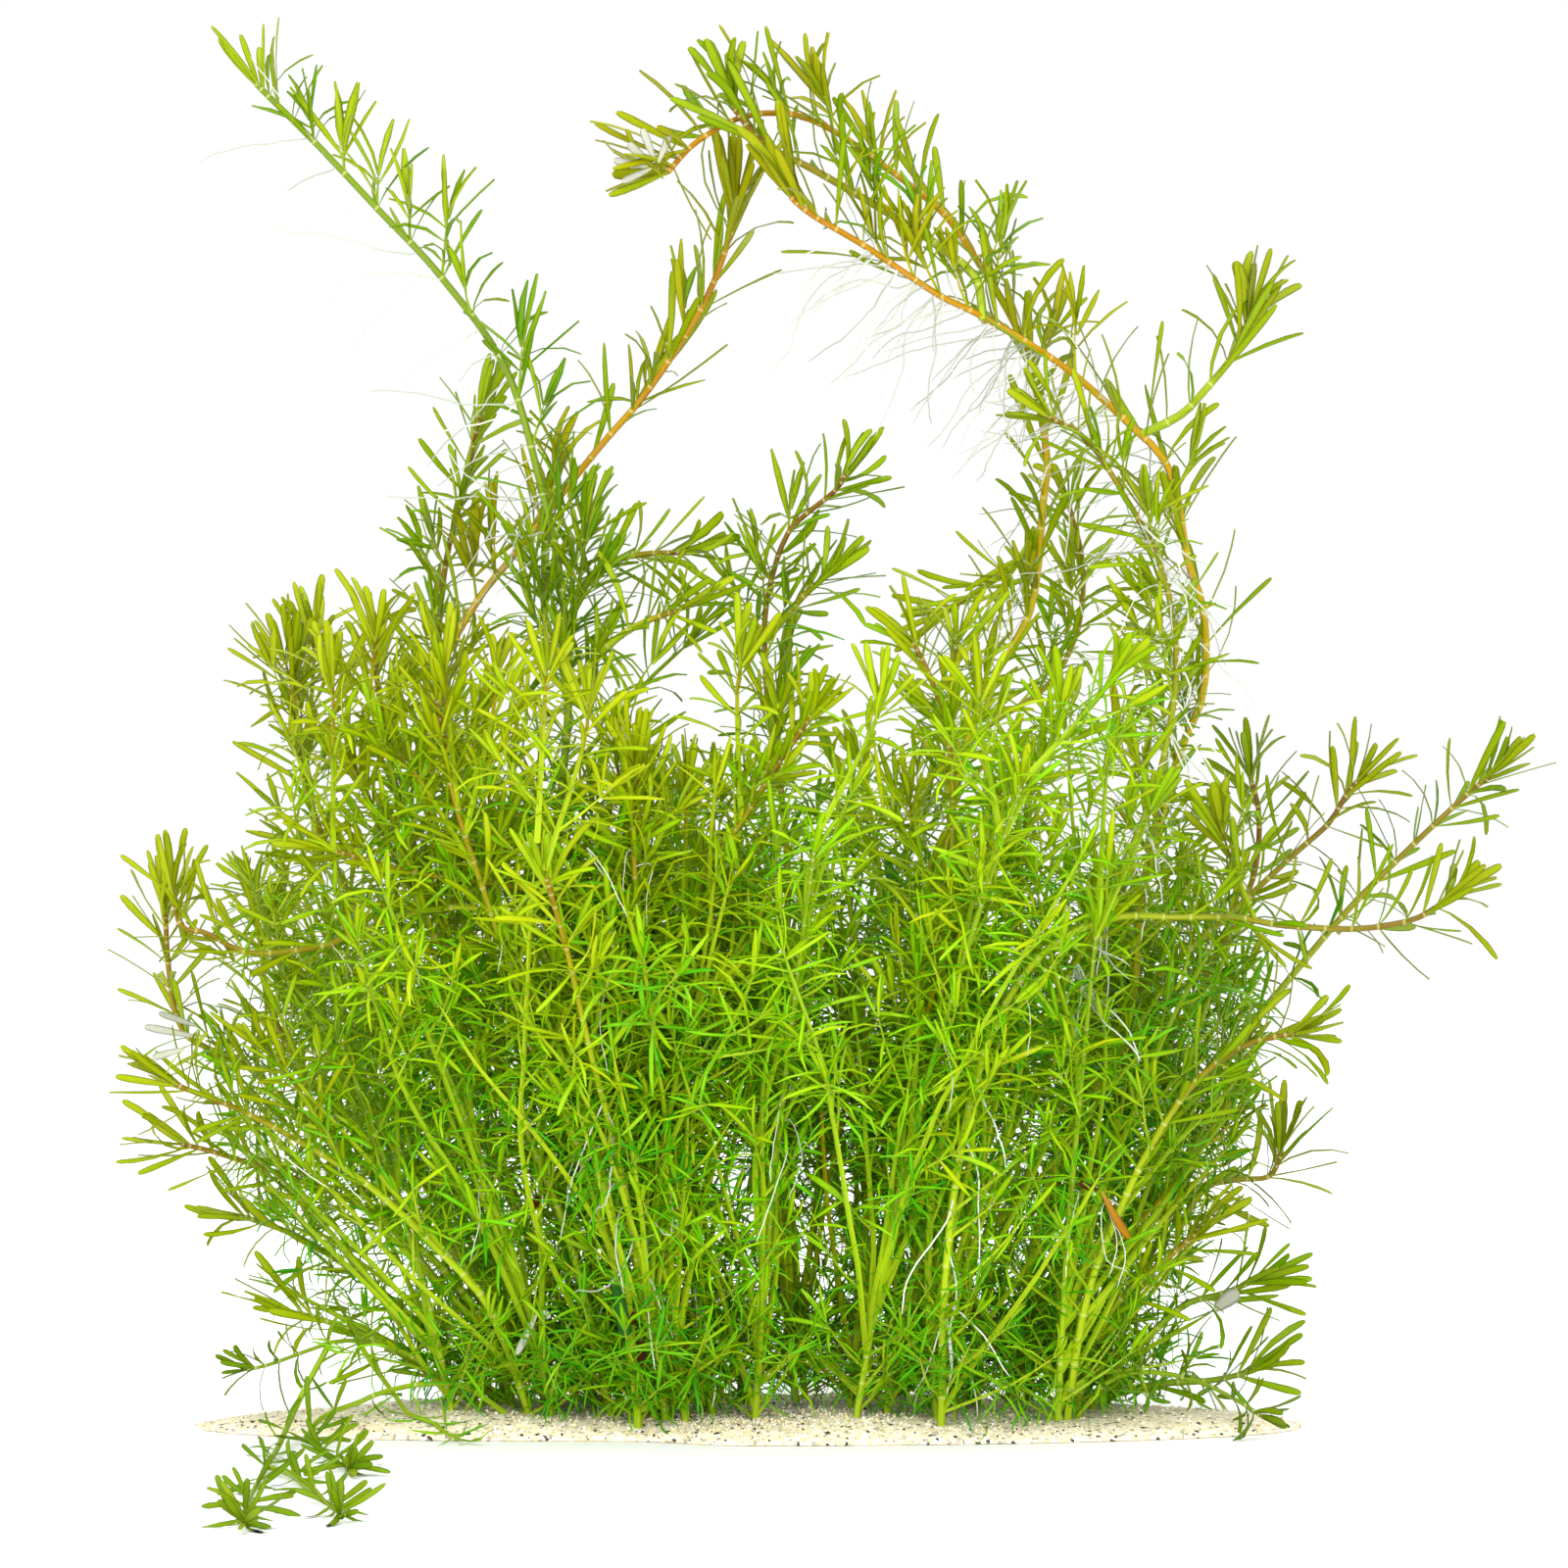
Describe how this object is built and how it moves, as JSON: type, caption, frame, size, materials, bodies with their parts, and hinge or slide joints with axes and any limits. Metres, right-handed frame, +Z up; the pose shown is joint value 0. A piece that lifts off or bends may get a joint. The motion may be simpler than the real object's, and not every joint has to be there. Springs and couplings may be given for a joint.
{
  "type": "dwarf rotala",
  "caption": "a clump of dwarf rotala aquarium plant, many leafy green stems with tall arching shoots, rooted in a low patch of pale sand",
  "frame": {"origin": "the middle of the sand's flat underside, below the foot of the clump", "axes": "+Z is up, +X runs to the right along the sand's long side, and -Y faces the viewer of the picture, where the trailing shoots lie"},
  "size_m": [0.367, 0.301, 0.3652],
  "materials": {
    "green_shoot": "satin",
    "lime_shoot": "satin",
    "orange_shoot": "satin",
    "brown_shoot": "satin",
    "sand": "matte"
  },
  "bodies": {
    "root": {"sand_bed": "sand", "long_left_stem": "lime_shoot", "high_arch_stem": "orange_shoot", "orange_arch_stem": "orange_shoot", "left_arch_stem": "orange_shoot", "pale_inner_stem": "lime_shoot", "bent_inner_stem": "lime_shoot", "left_brown_stem": "brown_shoot", "tall_brown_stem": "brown_shoot", "mid_right_stem": "lime_shoot", "lime_mid_stem": "lime_shoot", "star_tip_stem": "lime_shoot", "lime_left_stem": "lime_shoot", "left_upright_a": "lime_shoot", "left_upright_b": "lime_shoot", "left_upright_c": "lime_shoot", "left_upright_d": "lime_shoot", "left_curved_a": "lime_shoot", "left_curved_b": "lime_shoot", "left_flat_a": "lime_shoot", "left_flat_b": "lime_shoot", "left_arched_a": "lime_shoot", "left_arched_b": "lime_shoot", "left_arched_c": "lime_shoot", "left_low_a": "green_shoot", "left_low_b": "green_shoot", "right_upright_stem": "brown_shoot", "right_slant_a": "lime_shoot", "right_slant_b": "lime_shoot", "right_flat_stem": "lime_shoot", "right_mid_a": "lime_shoot", "right_mid_b": "lime_shoot", "right_mid_c": "lime_shoot", "right_low_a": "green_shoot", "right_low_b": "green_shoot", "inner_stem_01": "green_shoot", "inner_stem_02": "green_shoot", "inner_stem_03": "green_shoot", "inner_stem_04": "green_shoot", "inner_stem_05": "green_shoot", "inner_stem_06": "green_shoot", "inner_stem_07": "green_shoot", "inner_stem_08": "green_shoot", "inner_stem_09": "green_shoot", "inner_stem_10": "green_shoot", "inner_stem_11": "green_shoot", "inner_stem_12": "green_shoot", "inner_stem_13": "green_shoot", "inner_stem_14": "green_shoot", "brown_arch_branch": "brown_shoot", "right_top_branch": "lime_shoot", "tall_brown_branch": "brown_shoot", "flat_brown_branch": "brown_shoot", "flat_green_branch": "lime_shoot", "looped_branch": "lime_shoot", "right_low_c": "green_shoot", "trailing_stem_a": "green_shoot", "trailing_stem_b": "green_shoot", "trailing_branch_a": "green_shoot", "trailing_branch_b": "green_shoot"}
  },
  "joints": []
}
